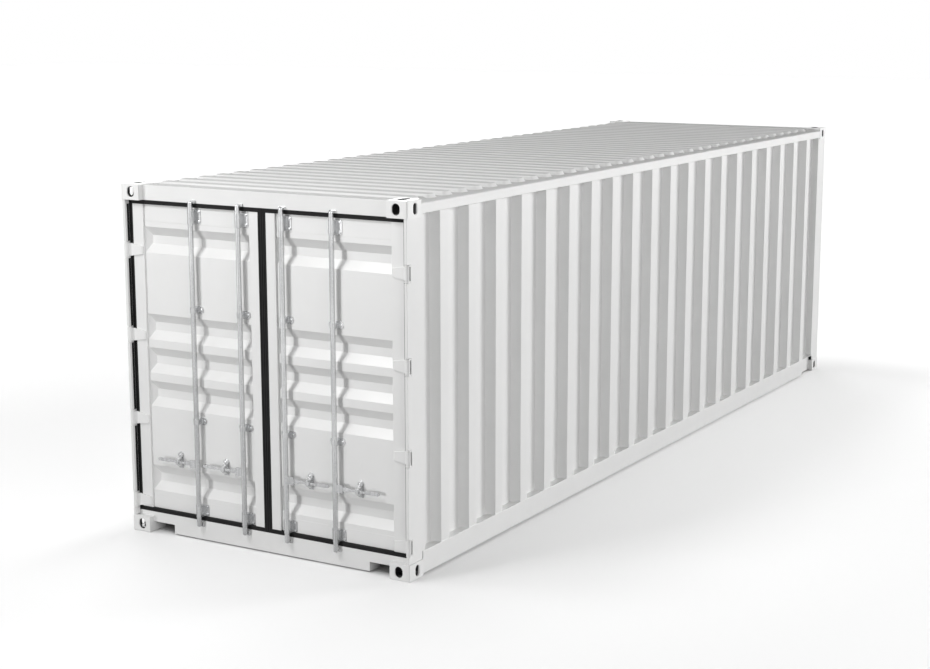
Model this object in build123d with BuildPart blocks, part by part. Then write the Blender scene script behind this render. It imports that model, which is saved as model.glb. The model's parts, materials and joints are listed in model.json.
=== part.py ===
"""Steel shipping container with corrugated walls and two cargo doors.

Frame: +X to the right seen from the door end, the door end at -Y, +Z up,
origin at the bottom centre. Millimetres. An "inset" is measured inwards from
the side of the container and a "depth" inwards from one of its ends.
"""
import os

from build123d import *

# Overall size, over the faces of the corner castings
length = 8250.0
width = 2438.0
height = 2591.0

# Corner castings
casting_length = 178.0
casting_width = 162.0
casting_height = 118.0
casting_face_wall = 20.0
casting_back_wall = 12.0
casting_plate = 28.0
casting_corner = 10.0
casting_rounding = 5.0
hole_side_inset = 89.0
hole_end_depth = 101.5
hole_height = 79.0
end_hole_width = 63.5
side_hole_width = 51.0
plate_hole_length = 124.5
plate_hole_width = 63.5

# Posts
post_side_inset = 6.0
post_end_depth = 3.5
post_steel = 6.0
door_post_strip = 23.0
door_post_length = 209.5
door_post_inner_width = 72.0
front_post_length = 202.5
front_post_face = 114.0
front_post_leg = 72.0

# Side rails
rail_inset = 2.0
top_rail_height = 66.0
top_rail_width = 76.0
top_rail_drop = 33.0
top_rail_steel = 4.0
bottom_rail_lift = 15.0
bottom_rail_height = 160.0
bottom_rail_steel = 4.5
bottom_rail_top_width = 74.0
bottom_rail_foot_width = 48.0
rail_recess_length = 302.0
rail_recess_depth = 38.0

# Corrugated sheets
sheet = 2.0
side_crest = 110.0
side_flank = 38.0
side_trough = 196.0
side_depth = 66.0
side_first_crest = 424.0
side_bend = 9.0
front_crest = 70.0
front_flank = 28.0
front_trough = 124.0
front_depth = 45.0
front_bend = 8.0
roof_crest = 91.0
roof_flank = 18.0
roof_rise = 20.0
roof_pitch = 211.5
roof_end_margin = 250.0
roof_edge_inset = 14.0
roof_ridge_margin = 40.0
roof_ridge_corner = 40.0

# Headers and sills
header_steel = 5.0
door_header_face_depth = 50.0
header_height = 110.0
header_back_depth = 178.0
front_header_depth = 6.0
front_header_drop = 11.0
header_lip = 48.0
sill_lift = 8.0
sill_top = 151.0
front_sill_lift = 15.0
sill_notch_width = 195.0
sill_notch_top = 76.0

# Floor
floor_top = 173.0
floor_thickness = 28.0
floor_clearance = 2.0
floor_columns = 2
floor_rows = 4
floor_joint = 2.0
cross_member_height = 122.0
cross_member_flange = 45.0
cross_member_steel = 4.0
cross_members_count = 25
cross_member_margin = 250.0

# Door leaves
leaf_face_depth = 51.0
leaf_thickness = 60.0
leaf_back_clearance = 5.0
hinge_stile_width = 96.0
lock_stile_width = 78.0
leaf_steel = 4.0
leaf_top_rail = 126.0
leaf_bottom_rail = 99.0
panel_setback = 15.0
valley_spacing = 249.0
valley_end_gap = 37.5
valley_mouth = 189.0
valley_floor = 61.0
valley_depth = 43.0
valley_end_run = 35.0
valley_margin = 3.0

# Door gaskets
gasket_side = 30.0
gasket_centre = 31.0
gasket_top = 30.0
gasket_bottom = 31.0
gasket_centre_gap = 2.0
gasket_clearance = 0.5
gasket_proud = 2.0
gasket_thickness = 30.0
gasket_groove_width = 7.0
gasket_groove_depth = 3.0

# Hinges
hinge_count = 4
hinge_bottom_distance = 50.0
hinge_top_distance = 336.0
hinge_pin_inset = 18.0
hinge_pin_depth = 20.0
hinge_pin_radius = 8.0
hinge_pin_clearance = 0.08
hinge_knuckle_radius = 17.5
hinge_height = 92.0
hinge_lug = 12.0
hinge_gap = 1.0
hinge_neck_radius = 9.0
hinge_shoulder_inset = 46.0
hinge_blade = 12.0
hinge_blade_end = 150.0
hinge_blade_end_height = 58.0
hinge_blade_chamfer = 10.0
hinge_blade_edge = 4.0
hinge_pocket_depth = 50.0
hinge_pocket_gap = 2.0

# Lock rods, their guides, cams and keepers
rod_centres = (186.0, 603.0)
rod_depth = 21.0
rod_radius = 18.0
rod_sill_overlap = 39.0
rod_header_overlap = 16.0
rod_end_length = 31.0
rod_end_radius = 17.0
rod_end_rounding = 8.0
cam_reach = 26.5
cam_width = 18.0
cam_height = 12.0
cam_end_distance = 6.0
keeper_gap = 5.0
keeper_steel = 6.0
keeper_cheek_depth = 20.0
guide_clearance = 0.8
guide_wall = 2.2
guide_plate = 5.0
end_guide_width = 118.0
end_guide_corner = 14.0
top_guide_height = 100.0
top_guide_distance = 14.0
bottom_guide_height = 87.0
bottom_guide_distance = 2.0
mid_guide_rises = (-404.0, 411.0)
mid_guide_width = 124.0
mid_guide_height = 54.0
mid_guide_corner = 26.0
mid_guide_strap = 40.0

# Handles and their catches
handle_rise = 161.0
handle_length = 364.0
handle_thickness = 14.0
handle_neck_height = 28.0
handle_neck_end = 104.0
handle_waist_height = 16.0
handle_waist_margin = 62.0
handle_taper = 14.0
handle_grip_height = 24.0
handle_bend = 4.0
handle_hub_length = 66.0
handle_hub_height = 56.0
handle_hub_thickness = 24.0
handle_hub_corner = 6.0
handle_ear_radius = 17.0
handle_ear_thickness = 8.0
catch_distance = 186.0
catch_gap = 5.0
catch_steel = 6.0
catch_lobe_rise = 42.0
catch_lobe_radius = 24.0
catch_boss_radius = 20.0
catch_boss_height = 17.0
catch_plate_width = 40.0
catch_plate_drop = 54.0
catch_tongue_width = 26.0
catch_shelf_width = 30.0
catch_front_depth = 16.0

# How far a cut runs past the face that it opens
cut_margin = 1.0

# Values that follow from the sizes above
half_length = length / 2
half_width = width / 2
sides = (-1, 1)
casting_top_level = height - casting_height
top_rail_top = height - top_rail_drop
top_rail_bottom = top_rail_top - top_rail_height
bottom_rail_top = bottom_rail_lift + bottom_rail_height
post_inner_inset = post_side_inset + door_post_inner_width
door_post_back = post_end_depth + door_post_length
front_post_back = post_end_depth + front_post_length
leaf_back_depth = leaf_face_depth + leaf_thickness
rebate_depth = leaf_back_depth + leaf_back_clearance
post_strip_inset = post_side_inset + door_post_strip
leaf_hinge_inset = post_strip_inset + gasket_side
leaf_lock_inset = half_width - gasket_centre - gasket_centre_gap
leaf_bottom = sill_top + gasket_bottom
leaf_top = casting_top_level - gasket_top
panel_depth = leaf_face_depth + panel_setback
panel_hinge_inset = leaf_hinge_inset + hinge_stile_width
panel_lock_inset = leaf_lock_inset - lock_stile_width
panel_bottom = leaf_bottom + leaf_bottom_rail
panel_top = leaf_top - leaf_top_rail
valley_centre = (panel_bottom + panel_top) / 2
lowest_valley = panel_bottom + valley_end_gap + valley_mouth / 2
highest_valley = panel_top - valley_end_gap - valley_mouth / 2
handle_level = lowest_valley + handle_rise
hinge_bottom_level = leaf_bottom + hinge_bottom_distance
hinge_pitch = (leaf_top - hinge_top_distance - hinge_bottom_level) / (hinge_count - 1)
hinge_levels = [hinge_bottom_level + index * hinge_pitch for index in range(hinge_count)]
rod_bottom = sill_top - rod_sill_overlap
rod_top = casting_top_level + rod_header_overlap
header_top = casting_top_level + header_height

parts = {}


def side_x(side, inset):
    """X of a point a given inset in from the left (-1) or right (+1) side."""
    return side * (half_width - inset)


def door_y(depth):
    """Y of a point a given depth in from the door end."""
    return -half_length + depth


def front_y(depth):
    """Y of a point a given depth in from the front end."""
    return half_length - depth


def block(x_range, y_range, z_range, mode=Mode.ADD):
    """Add or cut a box between two limits on each axis."""
    spans = [sorted(limits) for limits in (x_range, y_range, z_range)]
    centre = tuple((low + high) / 2 for low, high in spans)
    size = tuple(high - low for low, high in spans)
    with Locations(centre):
        Box(*size, mode=mode)


def keep(name, part):
    """Label a finished piece and keep it for export."""
    part.label = name
    parts[name] = part


# Corner castings: one is modelled at the right of the door end, and mirrored
def upright_hole(plane, hole_width):
    """Cut an upright round-ended aperture through one outer wall of the casting."""
    with BuildSketch(plane) as hole:
        SlotOverall(hole_height, hole_width, rotation=90)
    extrude(hole.sketch, amount=-casting_face_wall, mode=Mode.SUBTRACT)


casting_x = half_width - casting_width / 2
casting_y = door_y(casting_length / 2)
hole_level = casting_height / 2
side_hole_plane = Plane(
    origin=(half_width, door_y(hole_end_depth), hole_level), x_dir=(0, 1, 0), z_dir=(1, 0, 0)
)
end_hole_plane = Plane(
    origin=(side_x(1, hole_side_inset), door_y(0), hole_level), x_dir=(1, 0, 0), z_dir=(0, -1, 0)
)
plate_hole_plane = Plane(
    origin=(side_x(1, hole_side_inset), door_y(hole_end_depth), 0), x_dir=(0, 1, 0), z_dir=(0, 0, -1)
)

with BuildPart() as corner_casting:
    with Locations((casting_x, casting_y, hole_level)):
        Box(casting_width, casting_length, casting_height)
    upright_edges = corner_casting.edges().filter_by(Axis.Z)
    outer_edges = upright_edges.sort_by_distance((half_width, -half_length, 0))
    fillet(outer_edges[0], casting_corner)
    bottom_face = corner_casting.faces().sort_by(Axis.Z)[0]
    fillet(bottom_face.edges(), casting_rounding)
    block(
        (side_x(1, casting_face_wall), side_x(1, casting_width - casting_back_wall)),
        (door_y(casting_face_wall), door_y(casting_length - casting_back_wall)),
        (casting_plate, casting_height - casting_back_wall),
        mode=Mode.SUBTRACT,
    )
    upright_hole(side_hole_plane, side_hole_width)
    upright_hole(end_hole_plane, end_hole_width)
    with BuildSketch(plate_hole_plane):
        SlotOverall(plate_hole_length, plate_hole_width)
    extrude(amount=-casting_plate, mode=Mode.SUBTRACT)


def casting_pair(at_front, at_top):
    """Return the left and right castings of one end and level."""
    casting = corner_casting.part
    if at_front:
        casting = casting.mirror(Plane.XZ)
    if at_top:
        casting = casting.mirror(Plane.XY.offset(height / 2))
    with BuildPart() as pair:
        add(casting)
        mirror(about=Plane.YZ)
    return pair.part


keep("door_bottom_castings", casting_pair(False, False))
keep("door_top_castings", casting_pair(False, True))
keep("front_bottom_castings", casting_pair(True, False))
keep("front_top_castings", casting_pair(True, True))


# Corner posts: folded steel tubes that stand between the castings
def post_tube(outline, top_level):
    """Raise a folded tube from the casting's top face, open at both ends."""
    with BuildSketch(Plane.XY.offset(casting_height)) as section:
        with BuildLine():
            Polyline(*outline, close=True)
        make_face()
        offset(amount=-post_steel, mode=Mode.SUBTRACT)
    extrude(section.sketch, amount=top_level - casting_height)


def fit_post(side, end_y, back_depth):
    """Cut a post clear of the castings and of the bottom rail behind them."""
    across = (side_x(side, -cut_margin), side_x(side, casting_width))
    block(
        across,
        (end_y(-cut_margin), end_y(casting_length)),
        (casting_top_level, height),
        mode=Mode.SUBTRACT,
    )
    block(
        across,
        (end_y(casting_length), end_y(back_depth + cut_margin)),
        (0, bottom_rail_top),
        mode=Mode.SUBTRACT,
    )


def door_post(side):
    """Door post: a narrow strip beside the gasket, a wide rear part and hinge pockets."""
    strip_x = side_x(side, post_strip_inset)
    outer_x = side_x(side, post_side_inset)
    inner_x = side_x(side, post_inner_inset)
    outline = [
        (outer_x, door_y(post_end_depth)),
        (strip_x, door_y(post_end_depth)),
        (strip_x, door_y(rebate_depth)),
        (inner_x, door_y(rebate_depth)),
        (inner_x, door_y(door_post_back)),
        (outer_x, door_y(door_post_back)),
    ]
    pocket_half = hinge_height / 2 + hinge_gap + hinge_lug + hinge_pocket_gap
    with BuildPart() as post:
        post_tube(outline, top_rail_bottom)
        fit_post(side, door_y, door_post_back)
        for level in hinge_levels:
            block(
                (side_x(side, -cut_margin), side_x(side, post_strip_inset + cut_margin)),
                (door_y(-cut_margin), door_y(hinge_pocket_depth)),
                (level - pocket_half, level + pocket_half),
                mode=Mode.SUBTRACT,
            )
    return post.part


def front_post(side):
    """Front post: an angle-shaped tube with a face on each side of the corner."""
    outer_x = side_x(side, post_side_inset)
    face_x = side_x(side, post_side_inset + front_post_face)
    leg_x = side_x(side, post_side_inset + front_post_leg)
    face_y = front_y(post_end_depth)
    leg_y = front_y(post_end_depth + front_post_leg)
    outline = [
        (outer_x, face_y),
        (face_x, face_y),
        (face_x, leg_y),
        (leg_x, leg_y),
        (leg_x, front_y(front_post_back)),
        (outer_x, front_y(front_post_back)),
    ]
    with BuildPart() as post:
        post_tube(outline, top_rail_bottom)
        fit_post(side, front_y, front_post_back)
    return post.part


for side, word in zip(sides, ("left", "right")):
    keep(f"door_post_{word}", door_post(side))
    keep(f"front_post_{word}", front_post(side))


# Side rails run between the castings
rail_start = door_y(casting_length)
rail_end = front_y(casting_length)
rail_plane = Plane(origin=(0, rail_start, 0), x_dir=(1, 0, 0), z_dir=(0, -1, 0))
rail_length = rail_end - rail_start


def top_rail(side):
    """Square tube along the top of a side wall."""
    outer = side_x(side, rail_inset)
    inner = side_x(side, rail_inset + top_rail_width)
    with BuildPart() as rail:
        with BuildSketch(rail_plane) as section:
            with Locations(((outer + inner) / 2, (top_rail_bottom + top_rail_top) / 2)):
                Rectangle(top_rail_width, top_rail_height)
            offset(amount=-top_rail_steel, mode=Mode.SUBTRACT)
        extrude(section.sketch, amount=-rail_length)
    return rail.part


def bottom_rail(side):
    """Channel along the foot of a side wall, stepped in near the front end."""
    steel = bottom_rail_steel
    web = side_x(side, rail_inset)
    web_back = side_x(side, rail_inset + steel)
    top_tip = side_x(side, rail_inset + bottom_rail_top_width)
    foot_tip = side_x(side, rail_inset + bottom_rail_foot_width)
    step_y = rail_end - rail_recess_length
    step_inset = rail_inset + rail_recess_depth
    with BuildPart() as rail:
        with BuildSketch(rail_plane):
            with BuildLine():
                Polyline(
                    (web, bottom_rail_lift),
                    (foot_tip, bottom_rail_lift),
                    (foot_tip, bottom_rail_lift + steel),
                    (web_back, bottom_rail_lift + steel),
                    (web_back, bottom_rail_top - steel),
                    (top_tip, bottom_rail_top - steel),
                    (top_tip, bottom_rail_top),
                    (web, bottom_rail_top),
                    close=True,
                )
            make_face()
        extrude(amount=-rail_length)
        block(
            (side_x(side, 0), side_x(side, step_inset)),
            (step_y, rail_end),
            (0, bottom_rail_top - steel),
            mode=Mode.SUBTRACT,
        )
        block(
            (side_x(side, step_inset), side_x(side, step_inset + steel)),
            (step_y - steel, rail_end),
            (bottom_rail_lift, bottom_rail_top - steel),
        )
        block(
            (side_x(side, rail_inset), side_x(side, step_inset + steel)),
            (step_y - steel, step_y),
            (bottom_rail_lift, bottom_rail_top - steel),
        )
    return rail.part


for side, word in zip(sides, ("left", "right")):
    keep(f"top_rail_{word}", top_rail(side))
    keep(f"bottom_rail_{word}", bottom_rail(side))


# Corrugated walls: the section is drawn in plan and raised
def corrugation(start, first_crest, crests, end, crest, flank, trough):
    """Points of a corrugated line: (run, 0) on crests and (run, 1) in troughs."""
    pitch = crest + 2 * flank + trough
    points = [(start, 1)]
    for index in range(crests):
        run = first_crest + index * pitch
        points += [(run - flank, 1), (run, 0), (run + crest, 0), (run + crest + flank, 1)]
    points.append((end, 1))
    return points


def raise_sheet(outline, bend, bottom, top, towards):
    """Give a folded line the sheet's thickness on one side and raise it."""
    with BuildSketch(Plane.XY.offset(bottom)) as section:
        with BuildLine():
            FilletPolyline(*outline, radius=bend)
            offset(amount=sheet, side=towards)
        make_face()
    extrude(section.sketch, amount=top - bottom)


def side_wall(side):
    """Side wall with upright corrugations, from post to post."""
    last_end = length - front_post_back
    pitch = side_crest + 2 * side_flank + side_trough
    last_crest = last_end - side_trough / 2 - side_flank - side_crest
    crests = 1 + int((last_crest - side_first_crest) // pitch)
    runs = corrugation(
        door_post_back, side_first_crest, crests, last_end, side_crest, side_flank, side_trough
    )
    outline = [(side_x(side, post_side_inset + side_depth * low), door_y(run)) for run, low in runs]
    with BuildPart() as wall:
        raise_sheet(
            outline,
            side_bend,
            bottom_rail_top,
            top_rail_bottom,
            Side.LEFT if side > 0 else Side.RIGHT,
        )
    return wall.part


def front_wall():
    """Front wall with upright corrugations, from front post to front post."""
    edge = half_width - post_side_inset - front_post_face
    pitch = front_crest + 2 * front_flank + front_trough
    crests = 1 + int((2 * edge - front_trough - 2 * front_flank - front_crest) // pitch)
    first = -(pitch * (crests - 1) + front_crest) / 2
    runs = corrugation(-edge, first, crests, edge, front_crest, front_flank, front_trough)
    outline = [(run, front_y(front_header_depth + front_depth * low)) for run, low in runs]
    with BuildPart() as wall:
        raise_sheet(outline, front_bend, floor_top, casting_top_level, Side.RIGHT)
    return wall.part


keep("side_wall_left", side_wall(-1))
keep("side_wall_right", side_wall(1))
keep("front_wall", front_wall())

# Roof: a flat sheet on the rails, stamped with ridges that stop short of them
roof_half_width = half_width - roof_edge_inset
roof_start = door_y(header_back_depth)
roof_end = front_y(header_back_depth)
ridge_length = 2 * (half_width - rail_inset - top_rail_width - roof_ridge_margin)
ridge_base = roof_crest + 2 * roof_flank
ridge_run = roof_end - roof_start - 2 * roof_end_margin - ridge_base
roof_ridges = 1 + int(ridge_run // roof_pitch)


def roof_ridge(base_level):
    """Return one ridge with sloping sides and rounded corners."""
    with BuildPart() as ridge:
        with BuildSketch(Plane.XY.offset(base_level)):
            RectangleRounded(ridge_length, ridge_base, roof_ridge_corner)
        with BuildSketch(Plane.XY.offset(base_level + roof_rise)):
            RectangleRounded(
                ridge_length - 2 * roof_flank, roof_crest, roof_ridge_corner - roof_flank
            )
        loft()
    return ridge.part


ridge_outside = roof_ridge(top_rail_top + sheet)
ridge_inside = roof_ridge(top_rail_top)

with BuildPart() as roof_panel:
    block(
        (-roof_half_width, roof_half_width),
        (roof_start, roof_end),
        (top_rail_top, top_rail_top + sheet),
    )
    with GridLocations(1, roof_pitch, 1, roof_ridges):
        add(ridge_outside)
    with GridLocations(1, roof_pitch, 1, roof_ridges):
        add(ridge_inside, mode=Mode.SUBTRACT)
keep("roof_panel", roof_panel.part)


# Headers and sills close the frame at each end
def cross_tube(outline, half_span):
    """Lay a folded tube across the container, open at both ends."""
    with BuildSketch(Plane.YZ.offset(-half_span)) as section:
        with BuildLine():
            Polyline(*outline, close=True)
        make_face()
        offset(amount=-header_steel, mode=Mode.SUBTRACT)
    extrude(section.sketch, amount=2 * half_span)


casting_gap = half_width - casting_width
lip_level = casting_top_level - header_lip

with BuildPart() as door_header:
    cross_tube(
        [
            (door_y(door_header_face_depth), casting_top_level),
            (door_y(rebate_depth), casting_top_level),
            (door_y(rebate_depth), lip_level),
            (door_y(header_back_depth), lip_level),
            (door_y(header_back_depth), header_top),
            (door_y(door_header_face_depth), header_top),
        ],
        half_width - post_inner_inset,
    )
    for side in sides:
        block(
            (side_x(side, 0), side_x(side, casting_width)),
            (door_y(0), door_y(casting_length)),
            (casting_top_level, height),
            mode=Mode.SUBTRACT,
        )
keep("door_header", door_header.part)

with BuildPart() as door_sill:
    cross_tube(
        [
            (door_y(door_header_face_depth), sill_lift),
            (door_y(door_header_face_depth), sill_top),
            (door_y(rebate_depth), sill_top),
            (door_y(rebate_depth), floor_top),
            (door_y(header_back_depth), floor_top),
            (door_y(header_back_depth), sill_lift),
        ],
        half_width - post_strip_inset,
    )
    notch_inset = casting_width + sill_notch_width
    for side in sides:
        block(
            (side_x(side, 0), side_x(side, casting_width)),
            (door_y(0), door_y(casting_length)),
            (0, casting_height),
            mode=Mode.SUBTRACT,
        )
        block(
            (side_x(side, 0), side_x(side, post_inner_inset)),
            (door_y(rebate_depth), door_y(header_back_depth)),
            (0, floor_top),
            mode=Mode.SUBTRACT,
        )
        block(
            (side_x(side, casting_width), side_x(side, notch_inset)),
            (door_y(0), door_y(casting_length)),
            (0, sill_notch_top),
            mode=Mode.SUBTRACT,
        )
        block(
            (side_x(side, casting_width), side_x(side, notch_inset)),
            (door_y(door_header_face_depth), door_y(header_back_depth)),
            (sill_notch_top, sill_notch_top + header_steel),
        )
        block(
            (side_x(side, notch_inset), side_x(side, notch_inset + header_steel)),
            (door_y(door_header_face_depth), door_y(header_back_depth)),
            (sill_lift, sill_notch_top + header_steel),
        )
keep("door_sill", door_sill.part)

with BuildPart() as front_header:
    cross_tube(
        [
            (front_y(front_header_depth), casting_top_level),
            (front_y(header_back_depth), casting_top_level),
            (front_y(header_back_depth), height - front_header_drop),
            (front_y(front_header_depth), height - front_header_drop),
        ],
        casting_gap,
    )
keep("front_header", front_header.part)

with BuildPart() as front_sill:
    cross_tube(
        [
            (front_y(front_header_depth), front_sill_lift),
            (front_y(header_back_depth), front_sill_lift),
            (front_y(header_back_depth), floor_top),
            (front_y(front_header_depth), floor_top),
        ],
        half_width - post_side_inset - front_post_face,
    )
    for side in sides:
        block(
            (side_x(side, 0), side_x(side, casting_width)),
            (front_y(0), front_y(casting_length)),
            (0, casting_height),
            mode=Mode.SUBTRACT,
        )
keep("front_sill", front_sill.part)

# Floor: boards on cross members that span from rail to rail
floor_half_width = half_width - post_inner_inset - floor_clearance
floor_start = door_y(header_back_depth) + floor_clearance
floor_end = front_y(header_back_depth) - floor_clearance
board_width = (2 * floor_half_width - (floor_columns - 1) * floor_joint) / floor_columns
board_length = (floor_end - floor_start - (floor_rows - 1) * floor_joint) / floor_rows
floor_bottom = floor_top - floor_thickness

with BuildPart() as floor_boards:
    with Locations((0, (floor_start + floor_end) / 2, floor_top - floor_thickness / 2)):
        with GridLocations(
            board_width + floor_joint, board_length + floor_joint, floor_columns, floor_rows
        ):
            Box(board_width, board_length, floor_thickness)
keep("floor_boards", floor_boards.part)

first_member = rail_start + cross_member_margin
last_member = rail_end - cross_member_margin
member_pitch = (last_member - first_member) / (cross_members_count - 1)
recess_start = rail_end - rail_recess_length - bottom_rail_steel - cross_member_flange

with BuildPart() as cross_members:
    for index in range(cross_members_count):
        member_y = first_member + index * member_pitch
        web_inset = rail_inset + bottom_rail_steel
        if member_y > recess_start:
            web_inset += rail_recess_depth
        half_span = half_width - web_inset
        member_bottom = floor_bottom - cross_member_height
        with BuildSketch(Plane.YZ.offset(-half_span)):
            with BuildLine():
                Polyline(
                    (member_y, member_bottom),
                    (member_y + cross_member_flange, member_bottom),
                    (member_y + cross_member_flange, member_bottom + cross_member_steel),
                    (member_y + cross_member_steel, member_bottom + cross_member_steel),
                    (member_y + cross_member_steel, floor_bottom - cross_member_steel),
                    (member_y + cross_member_flange, floor_bottom - cross_member_steel),
                    (member_y + cross_member_flange, floor_bottom),
                    (member_y, floor_bottom),
                    close=True,
                )
            make_face()
        extrude(amount=2 * half_span)
keep("cross_members", cross_members.part)


# Door leaves: tube frames with a stamped panel
def door_plane(depth):
    """Plane parallel to the door end, whose sketch axes are X and Z."""
    return Plane(origin=(0, door_y(depth), 0), x_dir=(1, 0, 0), z_dir=(0, -1, 0))


def between(first_range, second_range, mode=Mode.ADD):
    """Draw or cut a rectangle between two limits on each sketch axis."""
    spans = [sorted(limits) for limits in (first_range, second_range)]
    with Locations(tuple((low + high) / 2 for low, high in spans)):
        Rectangle(*(high - low for low, high in spans), mode=mode)


def widened(limits, margin):
    """Return a pair of limits with the same margin added at both ends."""
    low, high = sorted(limits)
    return (low - margin, high + margin)


def square_tube(first_range, second_range):
    """Draw the section of a rectangular tube of the leaf's steel."""
    between(first_range, second_range)
    between(widened(first_range, -leaf_steel), widened(second_range, -leaf_steel), Mode.SUBTRACT)


def leaf_stiles(side):
    """Hinge stile and lock stile of one leaf."""
    depths = (door_y(leaf_face_depth), door_y(leaf_back_depth))
    with BuildPart() as stiles:
        for near, far in ((leaf_hinge_inset, panel_hinge_inset), (panel_lock_inset, leaf_lock_inset)):
            with BuildSketch(Plane.XY.offset(leaf_bottom)) as section:
                square_tube((side_x(side, near), side_x(side, far)), depths)
            extrude(section.sketch, amount=leaf_top - leaf_bottom)
    return stiles.part


def leaf_rails(side):
    """Top and bottom rails of one leaf, between its stiles."""
    start_x = min(side_x(side, panel_hinge_inset), side_x(side, panel_lock_inset))
    depths = (door_y(panel_depth), door_y(leaf_back_depth))
    with BuildPart() as rails:
        for levels in ((leaf_bottom, panel_bottom), (panel_top, leaf_top)):
            with BuildSketch(Plane.YZ.offset(start_x)) as section:
                square_tube(depths, levels)
            extrude(section.sketch, amount=panel_lock_inset - panel_hinge_inset)
    return rails.part


def leaf_panel(side):
    """Door panel: a sheet stamped with five level valleys."""
    centre_x = side_x(side, (panel_hinge_inset + panel_lock_inset) / 2)
    valley_length = panel_lock_inset - panel_hinge_inset - 2 * valley_margin
    levels = (
        lowest_valley,
        valley_centre - valley_spacing,
        valley_centre,
        valley_centre + valley_spacing,
        highest_valley,
    )
    with BuildPart() as panel:
        block(
            (side_x(side, panel_hinge_inset), side_x(side, panel_lock_inset)),
            (door_y(panel_depth), door_y(panel_depth + sheet)),
            (panel_bottom, panel_top),
        )
        for shift, mode in ((sheet, Mode.ADD), (0.0, Mode.SUBTRACT)):
            for level in levels:
                mouth = door_plane(panel_depth + shift)
                with BuildSketch(mouth):
                    with Locations((centre_x, level)):
                        Rectangle(valley_length, valley_mouth)
                with BuildSketch(mouth.offset(-valley_depth)):
                    with Locations((centre_x, level)):
                        Rectangle(valley_length - 2 * valley_end_run, valley_floor)
                loft(mode=mode)
    return panel.part


def leaf_gasket(side):
    """Rubber seal round one leaf, with a groove along the middle of its face."""
    centre_inset = leaf_lock_inset + gasket_centre
    outer_x = (side_x(side, post_strip_inset + gasket_clearance), side_x(side, centre_inset))
    outer_z = (sill_top + gasket_clearance, casting_top_level - gasket_clearance)
    inner_x = (side_x(side, leaf_hinge_inset), side_x(side, leaf_lock_inset))
    inner_z = (leaf_bottom, leaf_top)
    middle_x = [(outer + inner) / 2 for outer, inner in zip(outer_x, inner_x)]
    middle_z = [(outer + inner) / 2 for outer, inner in zip(outer_z, inner_z)]
    half_groove = gasket_groove_width / 2
    face = door_plane(leaf_face_depth - gasket_proud)
    with BuildPart() as gasket:
        with BuildSketch(face):
            between(outer_x, outer_z)
            between(inner_x, inner_z, Mode.SUBTRACT)
        extrude(amount=-gasket_thickness)
        with BuildSketch(face):
            between(widened(middle_x, half_groove), widened(middle_z, half_groove))
            between(widened(middle_x, -half_groove), widened(middle_z, -half_groove), Mode.SUBTRACT)
        extrude(amount=-gasket_groove_depth, mode=Mode.SUBTRACT)
    return gasket.part


# Hinges: a knuckle with a cranked blade turns on a pin between two lugs
def hinge_point(side, inset, depth):
    """Plan point given from the side and the door end."""
    return (side_x(side, inset), door_y(depth))


def hinge_blade_part(side):
    """One hinge blade about level zero: cranked in plan and tapered in front view."""
    front = leaf_face_depth - hinge_blade
    clear = leaf_face_depth - gasket_proud - hinge_gap
    shoulder_radius = (clear - front) / 2
    plan = [
        hinge_point(side, hinge_shoulder_inset, front),
        hinge_point(side, hinge_blade_end - hinge_blade_chamfer, front),
        hinge_point(side, hinge_blade_end, leaf_face_depth - hinge_blade_edge),
        hinge_point(side, hinge_blade_end, leaf_face_depth),
        hinge_point(side, leaf_hinge_inset, leaf_face_depth),
        hinge_point(side, leaf_hinge_inset, clear),
        hinge_point(side, hinge_shoulder_inset, clear),
    ]
    taper = [
        (side_x(side, 0), hinge_height / 2),
        (side_x(side, hinge_shoulder_inset), hinge_height / 2),
        (side_x(side, hinge_blade_end), hinge_blade_end_height / 2),
        (side_x(side, hinge_blade_end), -hinge_blade_end_height / 2),
        (side_x(side, hinge_shoulder_inset), -hinge_height / 2),
        (side_x(side, 0), -hinge_height / 2),
    ]
    with BuildPart() as blade:
        with BuildSketch(Plane.XY.offset(-hinge_height / 2)):
            with Locations(hinge_point(side, hinge_pin_inset, hinge_pin_depth)):
                Circle(hinge_neck_radius)
            with Locations(hinge_point(side, hinge_shoulder_inset, front + shoulder_radius)):
                Circle(shoulder_radius)
            make_hull()
            with BuildLine():
                Polyline(*plan, close=True)
            make_face()
        extrude(amount=hinge_height)
        with BuildSketch(door_plane(0)):
            with BuildLine():
                Polyline(*taper, close=True)
            make_face()
        extrude(amount=-leaf_face_depth, mode=Mode.INTERSECT)
    return blade.part


def leaf_hinges(side):
    """The hinges of one leaf: blades with bored knuckles."""
    blade = hinge_blade_part(side)
    pin_x, pin_y = hinge_point(side, hinge_pin_inset, hinge_pin_depth)
    knuckles = [(pin_x, pin_y, level) for level in hinge_levels]
    with BuildPart() as hinges:
        with Locations(*((0, 0, level) for level in hinge_levels)):
            add(blade)
        with Locations(*knuckles):
            Cylinder(hinge_knuckle_radius, hinge_height)
        with Locations(*knuckles):
            Cylinder(hinge_pin_radius + hinge_pin_clearance, hinge_height, mode=Mode.SUBTRACT)
    return hinges.part


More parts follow.
